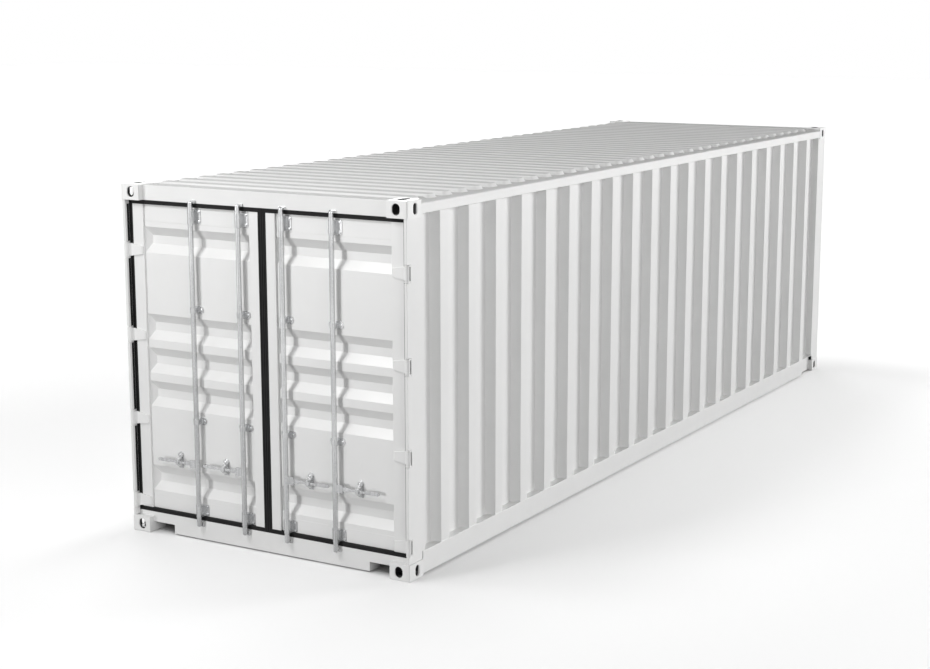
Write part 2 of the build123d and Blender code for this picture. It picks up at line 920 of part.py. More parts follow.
def post_hinge_pins():
    """Lugs on both door posts with the pins that they hold."""
    lug_top = hinge_height / 2 + hinge_gap
    lug_inset = post_side_inset + door_post_strip / 2
    lug_depth = (hinge_pin_depth + hinge_pocket_depth) / 2
    with BuildPart() as pins:
        for side in sides:
            pin = hinge_point(side, hinge_pin_inset, hinge_pin_depth)
            for level in hinge_levels:
                for start in (level + lug_top, level - lug_top - hinge_lug):
                    with BuildSketch(Plane.XY.offset(start)) as lug:
                        with Locations(pin):
                            Circle(hinge_knuckle_radius)
                        with Locations(hinge_point(side, lug_inset, lug_depth)):
                            Rectangle(door_post_strip, hinge_pocket_depth - hinge_pin_depth)
                    extrude(lug.sketch, amount=hinge_lug)
                with BuildSketch(Plane.XY.offset(level - lug_top)) as section:
                    with Locations(pin):
                        Circle(hinge_pin_radius)
                extrude(section.sketch, amount=2 * lug_top)
    return pins.part


keep("hinge_pins", post_hinge_pins())


# Lock rods: a bar with a cam at each end, turned by its handle
def lock_rod(side, centre):
    """One lock rod with its forged ends and cams."""
    rod_x = side * centre
    rod_y = door_y(rod_depth)
    with BuildPart() as rod:
        with BuildSketch(Plane.XY.offset(rod_bottom + rod_end_length)):
            with Locations((rod_x, rod_y)):
                Circle(rod_radius)
        extrude(amount=rod_top - rod_bottom - 2 * rod_end_length)
        for start in (rod_bottom, rod_top - rod_end_length):
            with BuildSketch(Plane.XY.offset(start)):
                with Locations((rod_x, rod_y)):
                    Circle(rod_end_radius)
            extrude(amount=rod_end_length)
        rims = rod.edges().group_by(Axis.Z)
        fillet(rims[0] + rims[-1], rod_end_rounding)
        for low in (rod_bottom + cam_end_distance, rod_top - cam_end_distance - cam_height):
            block(
                (rod_x - cam_width / 2, rod_x + cam_width / 2),
                (rod_y, rod_y + cam_reach),
                (low, low + cam_height),
            )
    return rod.part


def rod_handle(side, centre):
    """Forged handle: a hub on the rod, a waist in the catch, a grip and an ear."""
    rod_x = side * centre
    rod_y = door_y(rod_depth)
    bar_depth = rod_depth - handle_thickness / 2
    waist_start = catch_distance - handle_waist_margin
    waist_end = catch_distance + handle_waist_margin
    grip_centre = handle_length - handle_grip_height / 2
    profile = [
        (0.0, handle_neck_height / 2),
        (handle_neck_end, handle_neck_height / 2),
        (waist_start, handle_waist_height / 2),
        (waist_end, handle_waist_height / 2),
        (waist_end + handle_taper, handle_grip_height / 2),
        (grip_centre, handle_grip_height / 2),
    ]
    upper = [(rod_x + side * run, handle_level + rise) for run, rise in profile]
    lower = [(rod_x + side * run, handle_level - rise) for run, rise in reversed(profile)]
    with BuildPart() as handle:
        with BuildSketch(door_plane(bar_depth)):
            with BuildLine():
                FilletPolyline(*upper, *lower, radius=handle_bend, close=True)
            make_face()
            with Locations((rod_x + side * grip_centre, handle_level)):
                Circle(handle_grip_height / 2)
        extrude(amount=-handle_thickness)
        with BuildSketch(door_plane(bar_depth - handle_ear_thickness)):
            with Locations((rod_x + side * catch_distance, handle_level)):
                Circle(handle_ear_radius)
        extrude(amount=-handle_ear_thickness)
        with BuildSketch(Plane.XY.offset(handle_level - handle_hub_height / 2)):
            with Locations((rod_x + side * handle_hub_length / 2, rod_y)):
                RectangleRounded(handle_hub_length, handle_hub_thickness, handle_hub_corner)
        extrude(amount=handle_hub_height)
        with BuildSketch(Plane.XY.offset(handle_level - handle_hub_height)):
            with Locations((rod_x, rod_y)):
                Circle(rod_radius)
        extrude(amount=2 * handle_hub_height, mode=Mode.SUBTRACT)
    return handle.part


def rod_guide(rod_x, plate_levels, plate_width, plate_corner, strap_levels):
    """Bolted base plate with a round strap over the rod."""
    rod_y = door_y(rod_depth)
    bore = rod_radius + guide_clearance
    strap_radius = bore + guide_wall
    strap_low, strap_high = strap_levels
    with BuildSketch(door_plane(panel_depth - guide_plate)) as plate:
        with Locations((rod_x, sum(plate_levels) / 2)):
            RectangleRounded(plate_width, plate_levels[1] - plate_levels[0], plate_corner)
    extrude(plate.sketch, amount=-guide_plate)
    with BuildSketch(Plane.XY.offset(strap_low)) as strap:
        with Locations((rod_x, rod_y)):
            Circle(strap_radius)
        between(
            (rod_x - strap_radius, rod_x + strap_radius),
            (rod_y, door_y(panel_depth - guide_plate)),
        )
        with Locations((rod_x, rod_y)):
            Circle(bore, mode=Mode.SUBTRACT)
    extrude(strap.sketch, amount=strap_high - strap_low)


def handle_catch(catch_x):
    """Catch on the panel: a round boss, a tongue above the handle and a shelf below it."""
    lobe_level = handle_level + catch_lobe_rise
    tongue_low = handle_level + handle_waist_height / 2 + catch_gap
    shelf_top = handle_level - handle_waist_height / 2 - catch_gap
    plate_low = handle_level - catch_plate_drop
    front = door_y(catch_front_depth)
    back = door_y(panel_depth)
    tongue = [
        (back, lobe_level),
        (front, tongue_low + catch_steel),
        (front, tongue_low),
        (back, lobe_level - catch_lobe_radius),
    ]
    shelf = [
        (back, shelf_top),
        (front, shelf_top),
        (front, shelf_top - catch_steel),
        (back, plate_low),
    ]
    with BuildSketch(door_plane(panel_depth - catch_steel)) as plate:
        with Locations((catch_x, lobe_level)):
            Circle(catch_lobe_radius)
        between(
            (catch_x - catch_plate_width / 2, catch_x + catch_plate_width / 2),
            (plate_low, lobe_level),
        )
    extrude(plate.sketch, amount=-catch_steel)
    with BuildSketch(door_plane(panel_depth - catch_boss_height)) as boss:
        with Locations((catch_x, lobe_level)):
            Circle(catch_boss_radius)
    extrude(boss.sketch, amount=-catch_boss_height)
    for outline, arm_width in ((tongue, catch_tongue_width), (shelf, catch_shelf_width)):
        with BuildSketch(Plane.YZ.offset(catch_x - arm_width / 2)) as arm:
            with BuildLine():
                Polyline(*outline, close=True)
            make_face()
        extrude(arm.sketch, amount=arm_width)


def door_brackets(side):
    """Rod guides and handle catches of one leaf."""
    bottom_guide = leaf_bottom + bottom_guide_distance
    top_guide = leaf_top - top_guide_distance
    end_guides = (
        (bottom_guide, bottom_guide + bottom_guide_height),
        (top_guide - top_guide_height, top_guide),
    )
    with BuildPart() as brackets:
        for centre in rod_centres:
            for levels in end_guides:
                rod_guide(side * centre, levels, end_guide_width, end_guide_corner, levels)
            for rise in mid_guide_rises:
                level = valley_centre + rise
                rod_guide(
                    side * centre,
                    widened((level, level), mid_guide_height / 2),
                    mid_guide_width,
                    mid_guide_corner,
                    widened((level, level), mid_guide_strap / 2),
                )
            handle_catch(side * (centre + catch_distance))
    return brackets.part


def cam_keepers():
    """Angle-shaped keepers on the header and the sill, beside each cam."""
    cheek_near = rod_radius + keeper_gap
    back = door_y(door_header_face_depth)
    ledge_front = door_y(rod_depth + rod_radius + keeper_gap)
    top_start = rod_top - cam_end_distance + keeper_gap
    bottom_start = rod_bottom + cam_end_distance - keeper_gap
    with BuildPart() as keepers:
        for side in sides:
            for centre in rod_centres:
                rod_x = side * centre
                cheek = (rod_x - side * cheek_near, rod_x - side * (cheek_near + keeper_steel))
                ledge = (cheek[1], rod_x + side * cheek_near)
                for start, direction, frame_edge in (
                    (top_start, 1, casting_top_level),
                    (bottom_start, -1, sill_top),
                ):
                    end = start + direction * keeper_steel
                    block(cheek, (back - keeper_cheek_depth, back), (frame_edge, end))
                    block(ledge, (ledge_front, back), (start, end))
    return keepers.part


keep("cam_keepers", cam_keepers())

for side, word in zip(sides, ("left", "right")):
    keep(f"{word}_door_stiles", leaf_stiles(side))
    keep(f"{word}_door_rails", leaf_rails(side))
    keep(f"{word}_door_panel", leaf_panel(side))
    keep(f"{word}_door_gasket", leaf_gasket(side))
    keep(f"{word}_door_hinges", leaf_hinges(side))
    keep(f"{word}_door_brackets", door_brackets(side))
    for centre, place in zip(rod_centres, ("inner", "outer")):
        keep(f"{word}_{place}_lock_rod", lock_rod(side, centre))
        keep(f"{word}_{place}_handle", rod_handle(side, centre))

os.makedirs("parts", exist_ok=True)
for name, part in parts.items():
    export_step(part, f"parts/{name}.step")
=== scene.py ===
"""Looks of a white steel shipping container.

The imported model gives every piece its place. This script gives each surface
its finish, eases the folded edges, adds the fine pieces, and sets up a pale
studio with the camera where the photograph was taken from. Metres; +X to the
right of the doors, the door end at -Y, +Z up.
"""

import json
import logging
import math
from dataclasses import dataclass
from enum import Enum
from typing import Any, Callable, Iterator, Sequence

import bpy
from mathutils import Matrix, Vector


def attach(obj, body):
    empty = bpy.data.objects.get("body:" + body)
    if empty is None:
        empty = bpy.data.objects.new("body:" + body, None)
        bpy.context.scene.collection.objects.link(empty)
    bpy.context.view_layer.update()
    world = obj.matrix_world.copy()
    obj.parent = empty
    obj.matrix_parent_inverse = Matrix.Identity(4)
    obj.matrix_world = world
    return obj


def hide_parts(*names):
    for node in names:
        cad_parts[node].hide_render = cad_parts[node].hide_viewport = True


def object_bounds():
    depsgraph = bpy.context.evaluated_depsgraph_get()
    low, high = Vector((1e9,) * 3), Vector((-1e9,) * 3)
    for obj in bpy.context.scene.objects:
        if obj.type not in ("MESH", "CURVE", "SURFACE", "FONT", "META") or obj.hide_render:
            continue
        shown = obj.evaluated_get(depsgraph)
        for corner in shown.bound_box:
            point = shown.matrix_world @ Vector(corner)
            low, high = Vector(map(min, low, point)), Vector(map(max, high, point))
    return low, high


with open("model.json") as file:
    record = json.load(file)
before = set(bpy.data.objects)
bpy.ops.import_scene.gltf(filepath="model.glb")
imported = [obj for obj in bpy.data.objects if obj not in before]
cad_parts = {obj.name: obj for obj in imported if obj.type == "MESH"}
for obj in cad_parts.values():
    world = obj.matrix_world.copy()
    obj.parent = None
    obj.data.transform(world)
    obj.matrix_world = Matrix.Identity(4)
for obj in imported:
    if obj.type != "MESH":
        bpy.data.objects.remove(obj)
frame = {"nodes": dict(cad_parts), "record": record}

LOG = logging.getLogger("container")
BUILT_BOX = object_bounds()
MM = 0.001

Colour = tuple[float, float, float]
Point = tuple[float, float, float]

WHITE: Colour = (0.80, 0.80, 0.795)
TOUCH = 0.1 * MM
MERGE_GAP = 0.01 * MM
FLAT_ANGLE = 0.5
RIDGE_SMOOTH = 25.0
CORNER_BAND = 12.0 * MM
END_RIDGE_ALONG = 3.807
WELD_LEVELS = (175.0 * MM, 2492.0 * MM)
WELD_RADIUS = 2.5 * MM


class Side(Enum):
    """The two long sides of the container, seen from the doors."""

    LEFT = -1
    RIGHT = 1

    @property
    def door(self) -> str:
        """The body of this side's door."""
        return f"{self.name.lower()}_door"


class Edge(Enum):
    """How far a kind of edge is rounded, in metres."""

    FOLDED = 0.0
    TUBE = 5.0 * MM
    PRESSED = 2.5 * MM
    FORGED = 1.5 * MM
    CAST = 4.0 * MM


# Shader arithmetic


@dataclass(frozen=True)
class Wire:
    """A socket of a shader node that takes part in Python arithmetic."""

    bench: "ShaderBench"
    socket: bpy.types.NodeSocket

    def _maths(self, operation: str, first: Any, second: Any) -> "Wire":
        """Add a Math node.

        Args:
            operation: the Math node's operation.
            first: a wire or a number for the first input.
            second: a wire or a number for the second input.

        Returns:
            The node's result.
        """
        return self.bench.node("ShaderNodeMath", {"operation": operation}, {0: first, 1: second})

    def __add__(self, other: Any) -> "Wire":
        """Sum."""
        return self._maths("ADD", self, other)

    def __sub__(self, other: Any) -> "Wire":
        """Difference."""
        return self._maths("SUBTRACT", self, other)

    def __rsub__(self, other: Any) -> "Wire":
        """Difference, with the number first."""
        return self._maths("SUBTRACT", other, self)

    def __mul__(self, other: Any) -> "Wire":
        """Product."""
        return self._maths("MULTIPLY", self, other)

    def __truediv__(self, other: Any) -> "Wire":
        """Quotient."""
        return self._maths("DIVIDE", self, other)

    def __pow__(self, other: Any) -> "Wire":
        """Power."""
        return self._maths("POWER", self, other)

    def __gt__(self, other: Any) -> "Wire":
        """One where the wire is greater, else zero."""
        return self._maths("GREATER_THAN", self, other)

    def __lt__(self, other: Any) -> "Wire":
        """One where the wire is less, else zero."""
        return self._maths("LESS_THAN", self, other)

    def __abs__(self) -> "Wire":
        """Size without sign."""
        return self._maths("ABSOLUTE", self, 0.0)

    def axes(self) -> tuple["Wire", "Wire", "Wire"]:
        """The three numbers of a vector."""
        made = self.bench.node("ShaderNodeSeparateXYZ", inputs={0: self})
        across, along, level = (Wire(self.bench, output) for output in made.socket.node.outputs)
        return across, along, level


class ShaderBench:
    """The node tree of one material, with a Principled shader at its end."""

    def __init__(self, name: str) -> None:
        """Start an empty material.

        Args:
            name: the material's name.
        """
        self.material = bpy.data.materials.new(name)
        self.material.use_nodes = True
        self.tree = self.material.node_tree
        self.tree.nodes.clear()
        self.output = self.tree.nodes.new("ShaderNodeOutputMaterial")
        self.shader = self.tree.nodes.new("ShaderNodeBsdfPrincipled")
        self.tree.links.new(self.shader.outputs[0], self.output.inputs["Surface"])

    def node(
        self,
        kind: str,
        settings: dict[str, Any] | None = None,
        inputs: dict[Any, Any] | None = None,
        output: Any = 0,
    ) -> Wire:
        """Add a node.

        Args:
            kind: the node's type.
            settings: its properties.
            inputs: numbers, colours, vectors or wires, by socket name or number.
            output: the name or number of the wanted output.

        Returns:
            The wanted output of the new node.
        """
        made = self.tree.nodes.new(kind)
        for key, value in (settings or {}).items():
            setattr(made, key, value)
        for key, value in (inputs or {}).items():
            self.feed(made.inputs[key], value)
        return Wire(self, made.outputs[output])

    def feed(self, socket: bpy.types.NodeSocket, value: Any) -> None:
        """Link a wire to a socket, or set the socket's own value.

        Args:
            socket: the input to fill.
            value: a wire, a number, or a tuple.
        """
        if isinstance(value, Wire):
            self.tree.links.new(value.socket, socket)
        elif isinstance(value, tuple) and socket.type == "RGBA":
            socket.default_value = (*value, 1.0)[:4]
        else:
            socket.default_value = value

    def place(self) -> Wire:
        """The point on the piece, in metres, as it stands in the container."""
        return self.node("ShaderNodeTexCoord", output="Object")

    def stretched(self, scale: Point) -> Wire:
        """The point with each axis scaled.

        Args:
            scale: the factor along each axis.

        Returns:
            The changed point.
        """
        return self.node("ShaderNodeMapping", inputs={"Vector": self.place(), "Scale": scale})

    def noise(self, scale: float, detail: float = 3.0, place: Wire | None = None) -> Wire:
        """Soft random pattern between 0 and 1.

        Args:
            scale: how many cells fit in a metre.
            detail: how many finer layers it has.
            place: the point to read, or the piece's own.

        Returns:
            The pattern's value.
        """
        return self.node(
            "ShaderNodeTexNoise",
            inputs={"Vector": place or self.place(), "Scale": scale, "Detail": detail},
        )

    def between(self, value: Wire, low: float, high: float, to_low: float, to_high: float) -> Wire:
        """Map one range to another, held at its ends.

        Args:
            value: the value to map.
            low: the start of its range.
            high: the end of its range.
            to_low: what the start becomes.
            to_high: what the end becomes.

        Returns:
            The mapped value.
        """
        return self.node(
            "ShaderNodeMapRange",
            inputs={"Value": value, 1: low, 2: high, 3: to_low, 4: to_high},
        )

    def blend(self, factor: Wire, first: Any, second: Any) -> Wire:
        """Mix two colours.

        Args:
            factor: 0 for the first colour, 1 for the second.
            first: a colour or a wire.
            second: a colour or a wire.

        Returns:
            The mixed colour.
        """
        return self.node(
            "ShaderNodeMix",
            {"data_type": "RGBA"},
            {0: factor, 6: first, 7: second},
            output=2,
        )

    def bump(self, height: Wire, distance: float) -> None:
        """Roughen the surface's normal.

        Args:
            height: the height pattern, 0 to 1.
            distance: the height of 1, in metres.
        """
        normal = self.node(
            "ShaderNodeBump",
            inputs={"Strength": 1.0, "Distance": distance, "Height": height},
        )
        self.feed(self.shader.inputs["Normal"], normal)

    def surface(self, **values: Any) -> None:
        """Fill the shader's sockets.

        Args:
            **values: socket names with underscores for spaces.
        """
        for key, value in values.items():
            self.feed(self.shader.inputs[key.replace("_", " ")], value)


# Finishes


@dataclass(frozen=True)
class Paint:
    """Sprayed container paint over steel."""

    name: str
    colour: Colour = WHITE
    shade: float = 0.965
    roughness: float = 0.35
    gloss: float = 0.5
    grain: float = 0.25 * MM
    swing: float = 0.02
    patch_cells: float = 1.3
    dust_cells: float = 9.0
    peel_cells: float = 420.0
    dent_cells: float = 2.2

    def material(self) -> bpy.types.Material:
        """Make the paint: faint mottling, slight dust in patches and spray grain."""
        bench = ShaderBench(self.name)
        patches = bench.noise(self.patch_cells, 4.0)
        dust_and_shade = bench.noise(self.dust_cells, 6.0)
        mottle = bench.between(patches * 0.65 + dust_and_shade * 0.35, 0.35, 0.68, 0.0, 1.0)
        darker = tuple(channel * self.shade for channel in self.colour)
        least, most = self.roughness - self.swing, self.roughness + self.swing
        bench.surface(
            Base_Color=self.tint(bench, bench.blend(mottle, self.colour, darker)),
            Roughness=self.dulled(bench, bench.between(dust_and_shade, 0.25, 0.75, least, most)),
            Specular_IOR_Level=self.gloss,
        )
        peel = bench.noise(self.peel_cells, 2.0)
        dents = bench.noise(self.dent_cells, 2.0)
        bench.bump(peel * 0.35 + dents, self.grain)
        return bench.material

    def tint(self, bench: ShaderBench, colour: Wire) -> Wire:
        """Change the colour by place; plain paint keeps it.

        Args:
            bench: the material under way.
            colour: the paint's colour.

        Returns:
            The colour to use.
        """
        return colour

    def dulled(self, bench: ShaderBench, roughness: Wire) -> Wire:
        """Change the roughness by place; plain paint keeps it.

        Args:
            bench: the material under way.
            roughness: the paint's roughness.

        Returns:
            The roughness to use.
        """
        return roughness


@dataclass(frozen=True)
class CastingPaint(Paint):
    """Paint of the corner castings, with painted shade inside their cavities."""

    # Near-black painted shade for the hollows of the castings.
    cavity_shade: Colour = (0.04, 0.04, 0.04)
    half_width: float = 1219.0 * MM
    half_length: float = 4125.0 * MM
    height: float = 2591.0 * MM
    wall: float = 9.0 * MM
    far_wall: Point = (152.0 * MM, 168.0 * MM, 104.0 * MM)
    plate: float = 1.0 * MM

    def tint(self, bench: ShaderBench, colour: Wire) -> Wire:
        """Paint shade inside the hollow castings.

        Args:
            bench: the material under way.
            colour: the paint's colour.

        Returns:
            The colour with painted shade in the cavities.
        """
        across, along, level = bench.place().axes()
        side_inset = self.half_width - abs(across)
        end_inset = self.half_length - abs(along)
        rise = self.height / 2 - abs(level - self.height / 2)
        # Painted shade: the inside of each hollow casting takes the near-black colour.
        inside = (side_inset > self.wall) * (side_inset < self.far_wall[0])
        inside = inside * (end_inset > self.wall) * (end_inset < self.far_wall[1])
        inside = inside * (rise > self.plate) * (rise < self.far_wall[2])
        return bench.blend(inside, colour, self.cavity_shade)


@dataclass(frozen=True)
class FramePaint(Paint):
    """Paint of the frame and walls, with painted shade on the level faces of the top."""

    # Share of the colour left on the level faces of the top: a painted shade.
    dust_and_shade: float = 0.74
    top_level: float = 2500.0 * MM
    steep: float = 0.8
    level: float = 0.97

    def tint(self, bench: ShaderBench, colour: Wire) -> Wire:
        """Paint shade on the level faces of the top; the ridges' flanks keep the plain colour.

        Args:
            bench: the material under way.
            colour: the paint's colour.

        Returns:
            The colour with painted shade on the roof.
        """
        # Painted shade: the level faces of the top are made darker than the ridges' flanks.
        grey = tuple(channel * self.dust_and_shade for channel in self.colour)
        return bench.blend(self._shaded_faces(bench), colour, grey)

    def dulled(self, bench: ShaderBench, roughness: Wire) -> Wire:
        """Take the gloss off the level faces of the top, where shade is painted.

        Args:
            bench: the material under way.
            roughness: the paint's roughness.

        Returns:
            The roughness, full on the level faces of the top.
        """
        shaded = self._shaded_faces(bench)
        return roughness * (1.0 - shaded) + shaded

    def _shaded_faces(self, bench: ShaderBench) -> Wire:
        """Tell the level faces of the top, where shade is painted, from the rest.

        Args:
            bench: the material under way.

        Returns:
            One on level faces of the top, else zero.
        """
        upward = bench.node("ShaderNodeNewGeometry", output="Normal").axes()[2]
        shaded = bench.between(upward, self.steep, self.level, 0.0, 1.0)
        return shaded * (bench.place().axes()[2] > self.top_level)


@dataclass(frozen=True)
class Galvanised:
    """Zinc-coated steel, dulled in soft patches."""

    name: str
    colour: Colour = (0.70, 0.705, 0.71)
    dark: Colour = (0.40, 0.405, 0.41)
    roughness: float = 0.2
    metallic: float = 0.8
    # Cells of the lines along the rods, which also paint streaks of reflection.
    drawn: float = 70.0
    crystal_cells: float = 160.0
    patch_cells: float = 3.0
    grain_cells: float = 260.0
    grain: float = 0.03 * MM

    def material(self) -> bpy.types.Material:
        """Make the zinc: faint crystals, dull patches, and lines along the rods that are partly
        drawing marks and partly painted streaks of reflection.
        """
        bench = ShaderBench(self.name)
        crystals = bench.node(
            "ShaderNodeTexVoronoi",
            inputs={"Vector": bench.place(), "Scale": self.crystal_cells},
            output="Color",
        )
        tone = bench.node("ShaderNodeSeparateColor", inputs={0: crystals})
        patches = bench.noise(self.patch_cells, 3.0)
        # Lines along the rods: drawing marks, and also painted streaks that stand in for
        # reflections.
        lines = bench.noise(self.drawn, 2.0, bench.stretched((1.0, 1.0, 0.004)))
        mix = bench.between(tone * 0.12 + patches * 0.25 + lines, 0.38, 0.82, 0.0, 1.0)
        bench.surface(
            Base_Color=bench.blend(mix, self.dark, self.colour),
            Metallic=self.metallic,
            Roughness=bench.between(patches, 0.3, 0.7, self.roughness, self.roughness + 0.06),
        )
        bench.bump(bench.noise(self.grain_cells, 2.0), self.grain)
        return bench.material


@dataclass(frozen=True)
class SealRubber:
    """Black extruded rubber."""

    name: str
    colour: Colour = (0.014, 0.014, 0.0142)
    worn: Colour = (0.026, 0.026, 0.0262)
    roughness: float = 0.6
    bloom_cells: float = 7.0
    die_cells: float = 300.0
    die_depth: float = 0.2 * MM

    def material(self) -> bpy.types.Material:
        """Make the rubber: a dusty bloom and fine die lines."""
        bench = ShaderBench(self.name)
        bloom = bench.between(bench.noise(self.bloom_cells, 5.0), 0.42, 0.75, 0.0, 1.0)
        bench.surface(
            Base_Color=bench.blend(bloom, self.colour, self.worn),
            Roughness=bench.between(bloom, 0.0, 1.0, self.roughness, self.roughness + 0.2),
            Specular_IOR_Level=0.1,
        )
        bench.bump(bench.noise(self.die_cells, 2.0), self.die_depth)
        return bench.material


@dataclass(frozen=True)
class FloorTimber:
    """Oiled hardwood plywood with its grain along the container."""

    name: str
    light: Colour = (0.36, 0.225, 0.125)
    dark: Colour = (0.17, 0.095, 0.05)
    scuffed: Colour = (0.34, 0.27, 0.2)
    roughness: float = 0.5
    grain: float = 0.5 * MM

    def material(self) -> bpy.types.Material:
        """Make the plywood: long streaks, pores and scuffs."""
        bench = ShaderBench(self.name)
        streaks = bench.noise(6.0, 6.0, bench.stretched((9.0, 0.5, 9.0)))
        pores = bench.noise(60.0, 3.0, bench.stretched((6.0, 0.35, 6.0)))
        scuffs = bench.noise(1.6, 5.0)
        tone = bench.between(streaks * 0.75 + pores * 0.25, 0.32, 0.68, 0.0, 1.0)
        wood = bench.blend(tone, self.dark, self.light)
        worn = bench.between(scuffs, 0.5, 0.8, 0.0, 0.45)
        bench.surface(
            Base_Color=bench.blend(worn, wood, self.scuffed),
            Roughness=bench.between(scuffs, 0.35, 0.75, self.roughness, self.roughness + 0.25),
        )
        bench.bump(pores * 0.6 + streaks * 0.4, self.grain)
        return bench.material


FINISHES: dict[str, Any] = {
    "container_paint": FramePaint("container_paint", WHITE, roughness=0.31, gloss=0.25),
    "door_paint": Paint("door_paint", WHITE, roughness=0.31, gloss=0.6),
    "casting_paint": CastingPaint("casting_paint", (0.82, 0.82, 0.815), gloss=0.3, grain=0.8 * MM),
    "hinge_paint": Paint("hinge_paint", grain=0.6 * MM),
    "underframe_paint": Paint("underframe_paint", (0.56, 0.56, 0.55), shade=0.85, roughness=0.6),
    "galvanised_steel": Galvanised("galvanised_steel"),
    "handle_steel": Galvanised("handle_steel", (0.6, 0.605, 0.61), roughness=0.22),
    "door_seal": SealRubber("door_seal"),
    "floor_timber": FloorTimber("floor_timber"),
}


class Palette:
    """The container's materials, one for each slot of the record."""

    def __init__(self) -> None:
        """Make every material and read which slot each node takes."""
        self.materials = {slot: finish.material() for slot, finish in FINISHES.items()}
        self.node_slots = {
            row["node"]: row["material_slot"] for row in frame["record"]["subparts"]
        }
        self.node_bodies = {
            node: body
            for body, nodes in frame["record"]["behaviour"]["bodies"].items()
            for node in nodes
        }

    def dress(self, piece: bpy.types.Object, slot: str) -> None:
        """Give a piece one slot's material on every face.

        Args:
            piece: the object to dress.
            slot: the record's material slot.
        """
        if not piece.material_slots:
            piece.data.materials.append(self.materials[slot])
        for holder in piece.material_slots:
            holder.material = self.materials[slot]

    def dress_nodes(self) -> None:
        """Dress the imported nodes, each with its own slot's material."""
        for name, node in frame["nodes"].items():
            self.dress(node, self.node_slots[name])


# Modelling bench


class Bench:
    """Operator steps that the sub-assemblies share."""

    @staticmethod
    def clear() -> None:
        """Leave edit mode and deselect everything."""
        if bpy.context.object and bpy.context.object.mode != "OBJECT":
            bpy.ops.object.mode_set(mode="OBJECT")
        bpy.ops.object.select_all(action="DESELECT")

    @staticmethod
    def hold(piece: bpy.types.Object) -> None:
        """Select one piece and make it active.

        Args:
            piece: the object to work on.
        """
        Bench.clear()
        piece.select_set(True)
        bpy.context.view_layer.objects.active = piece

    @staticmethod
    def pick_faces(piece: bpy.types.Object, test: Callable[[bpy.types.MeshPolygon], bool]) -> None:
        """Enter edit mode with the faces that pass a test selected.

        Args:
            piece: the object whose faces are picked.
            test: says whether a face is wanted.
        """
        Bench.hold(piece)
        bpy.ops.object.mode_set(mode="EDIT")
        bpy.ops.mesh.select_mode(type="FACE")
        bpy.ops.mesh.select_all(action="DESELECT")
        bpy.ops.object.mode_set(mode="OBJECT")
        for face in piece.data.polygons:
            face.select = test(face)
        bpy.ops.object.mode_set(mode="EDIT")

    @staticmethod
    def pick_edges(piece: bpy.types.Object, test: Callable[[Vector, Vector], bool]) -> None:
        """Enter edit mode with the edges that pass a test selected.

        Args:
            piece: the object whose edges are picked.
            test: says from its two ends whether an edge is wanted.
        """
        Bench.hold(piece)
        bpy.ops.object.mode_set(mode="EDIT")
        bpy.ops.mesh.select_mode(type="EDGE")
        bpy.ops.mesh.select_all(action="DESELECT")
        bpy.ops.object.mode_set(mode="OBJECT")
        corners = piece.data.vertices
        for edge in piece.data.edges:
            edge.select = test(*(corners[index].co for index in edge.vertices))
        bpy.ops.object.mode_set(mode="EDIT")

    @staticmethod
    def leave() -> None:
        """Go back to object mode."""
        bpy.ops.object.mode_set(mode="OBJECT")

    @staticmethod
    def settle(piece: bpy.types.Object, smooth: float = 35.0) -> None:
        """Put a finished piece's place into its mesh and smooth its shallow edges.

        Args:
            piece: the finished object.
            smooth: edges under this angle, in degrees, are smoothed.
        """
        Bench.hold(piece)
        bpy.ops.object.transform_apply(location=True, rotation=True, scale=True)
        bpy.ops.object.shade_smooth_by_angle(angle=math.radians(smooth))
        level = piece.modifiers.new("level_faces", "WEIGHTED_NORMAL")
        level.mode = "FACE_AREA"
        level.weight = 100
        level.keep_sharp = True
        for modifier in list(piece.modifiers):
            bpy.ops.object.modifier_apply(modifier=modifier.name)

    @staticmethod
    def ease(piece: bpy.types.Object, radius: float, segments: int = 2, angle: float = 28.0) -> None:
        """Round the sharp edges of a piece.

        Args:
            piece: the object whose edges are rounded.
            radius: the width of the rounding, in metres.
            segments: how many facets a rounding has.
            angle: edges over this angle, in degrees, are rounded.
        """
        Bench.hold(piece)
        bevel = piece.modifiers.new("eased", "BEVEL")
        bevel.width = radius
        bevel.segments = segments
        bevel.limit_method = "ANGLE"
        bevel.angle_limit = math.radians(angle)
        bevel.use_clamp_overlap = True
        bevel.harden_normals = False
        bpy.ops.object.modifier_apply(modifier=bevel.name)

    @staticmethod
    def join(pieces: Sequence[bpy.types.Object], name: str) -> bpy.types.Object:
        """Join pieces into one object.

        Args:
            pieces: the objects to join; the first takes the rest.
            name: the joined object's name.

        Returns:
            The joined object.
        """
        Bench.clear()
        for piece in pieces:
            piece.select_set(True)
        bpy.context.view_layer.objects.active = pieces[0]
        if len(pieces) > 1:
            bpy.ops.object.join()
        pieces[0].name = name
        return pieces[0]

    @staticmethod
    def merged_copy(node: str, name: str) -> bpy.types.Object:
        """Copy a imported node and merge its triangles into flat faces.

        Args:
            node: the node to copy.
            name: the copy's name.

        Returns:
            The copy.
        """
        copy = bpy.data.objects.new(name, frame["nodes"][node].data.copy())
        bpy.context.scene.collection.objects.link(copy)
        Bench.hold(copy)
        bpy.ops.object.mode_set(mode="EDIT")
        bpy.ops.mesh.select_all(action="SELECT")
        bpy.ops.mesh.remove_doubles(threshold=MERGE_GAP)
        bpy.ops.mesh.dissolve_limited(angle_limit=math.radians(FLAT_ANGLE))
        Bench.leave()
        return copy

    @staticmethod
    def copy_at(pattern: bpy.types.Object, turn: Matrix) -> bpy.types.Object:
        """Copy a modelled piece, with its own mesh, to a new place.

        Args:
            pattern: the piece that was modelled once, at the origin.
            turn: where the copy goes.

        Returns:
            The placed copy.
        """
        copy = bpy.data.objects.new(pattern.name, pattern.data.copy())
        bpy.context.scene.collection.objects.link(copy)
        copy.matrix_world = turn
        return copy


